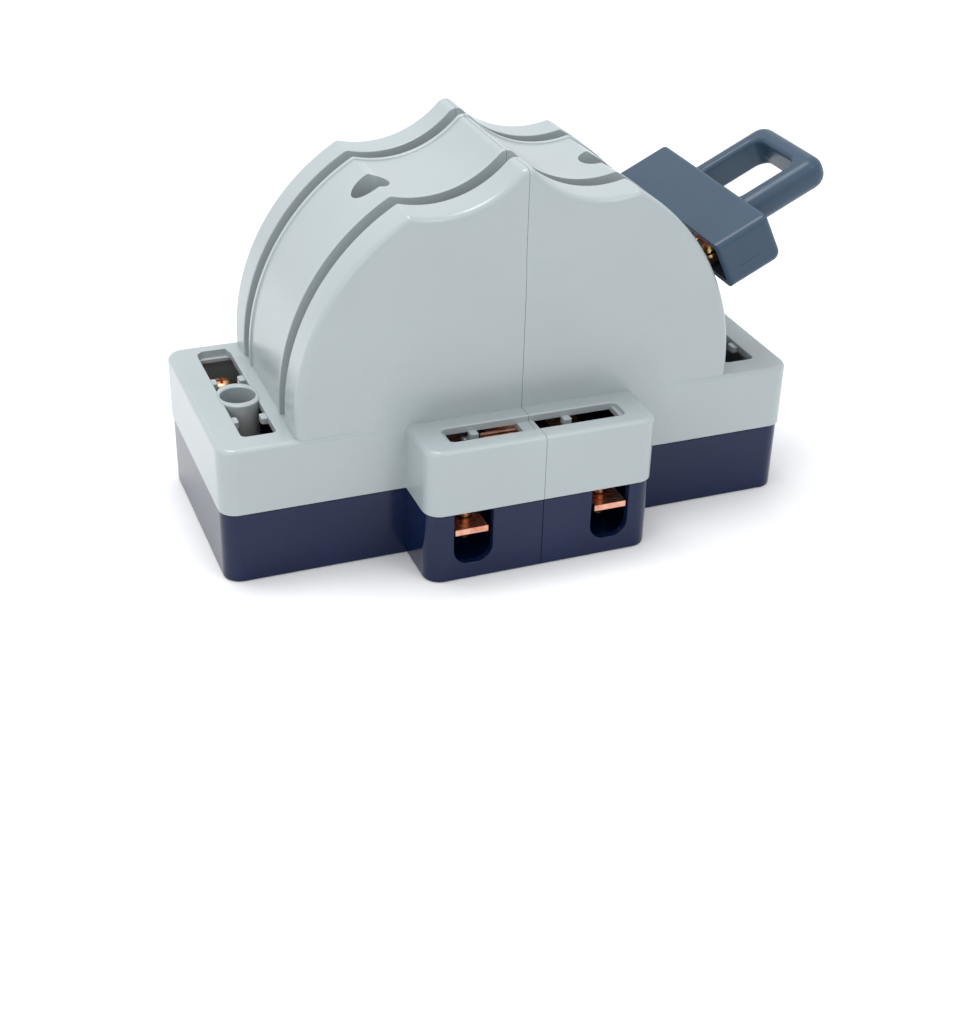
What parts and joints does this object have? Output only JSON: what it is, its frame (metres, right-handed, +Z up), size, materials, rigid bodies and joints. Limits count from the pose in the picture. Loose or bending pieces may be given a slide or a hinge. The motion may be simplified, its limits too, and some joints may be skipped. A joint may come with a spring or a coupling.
{
  "type": "double throw knife switch",
  "caption": "Covered double-throw knife switch: arched cover on a dark base, slotted for two copper blades that a hollow crossbar handle with a loop grip swings from end to end.",
  "frame": {"origin": "centre of the base's underside, below the blades' pivot", "axes": "+X along the base towards the side the handle leans to, -Y to the front terminal box, +Z up"},
  "size_m": [0.2624, 0.1196, 0.1526],
  "materials": {
    "navy_phenolic": "glossy dark blue moulded phenolic",
    "grey_abs": "satin pale grey moulded ABS",
    "slate_nylon": "satin slate blue moulded nylon",
    "copper": null,
    "coppered_screw": "copper-flashed brass screw",
    "brass": "bare brass",
    "zinc_steel": "zinc-plated steel"
  },
  "bodies": {
    "base_assembly": {"base": "navy_phenolic", "cover_left": "grey_abs", "cover_right": "grey_abs", "cover_screw_left": "zinc_steel", "cover_screw_right": "zinc_steel", "hinge_clip_front": "copper", "hinge_bolt_front": "zinc_steel", "hinge_washer_front": "zinc_steel", "hinge_nut_front": "zinc_steel", "hinge_foot_screw_front": "zinc_steel", "common_bar_front": "copper", "common_terminal_screw_front": "coppered_screw", "hinge_clip_rear": "copper", "hinge_bolt_rear": "zinc_steel", "hinge_washer_rear": "zinc_steel", "hinge_nut_rear": "zinc_steel", "hinge_foot_screw_rear": "zinc_steel", "common_bar_rear": "copper", "common_terminal_screw_rear": "coppered_screw", "jaw_left_front": "copper", "jaw_spring_left_front": "zinc_steel", "jaw_foot_screw_left_front": "zinc_steel", "terminal_bar_left_front": "copper", "terminal_screw_left_front": "coppered_screw", "jaw_right_front": "copper", "jaw_spring_right_front": "zinc_steel", "jaw_foot_screw_right_front": "zinc_steel", "terminal_bar_right_front": "copper", "terminal_screw_right_front": "coppered_screw", "jaw_left_rear": "copper", "jaw_spring_left_rear": "zinc_steel", "jaw_foot_screw_left_rear": "zinc_steel", "terminal_bar_left_rear": "copper", "terminal_screw_left_rear": "coppered_screw", "jaw_right_rear": "copper", "jaw_spring_right_rear": "zinc_steel", "jaw_foot_screw_right_rear": "zinc_steel", "terminal_bar_right_rear": "copper", "terminal_screw_right_rear": "coppered_screw"},
    "throw": {"handle": "slate_nylon", "blade_front": "copper", "blade_screw_front": "brass", "blade_nut_front": "brass", "blade_rear": "copper", "blade_screw_rear": "brass", "blade_nut_rear": "brass"}
  },
  "joints": [
    {"name": "blade_throw", "type": "hinge", "parent": "base_assembly", "child": "throw", "pos_m": [0, 0, 0.0617], "axis": [0, 1, 0], "range_deg": [-149.2, 21.8]}
  ]
}
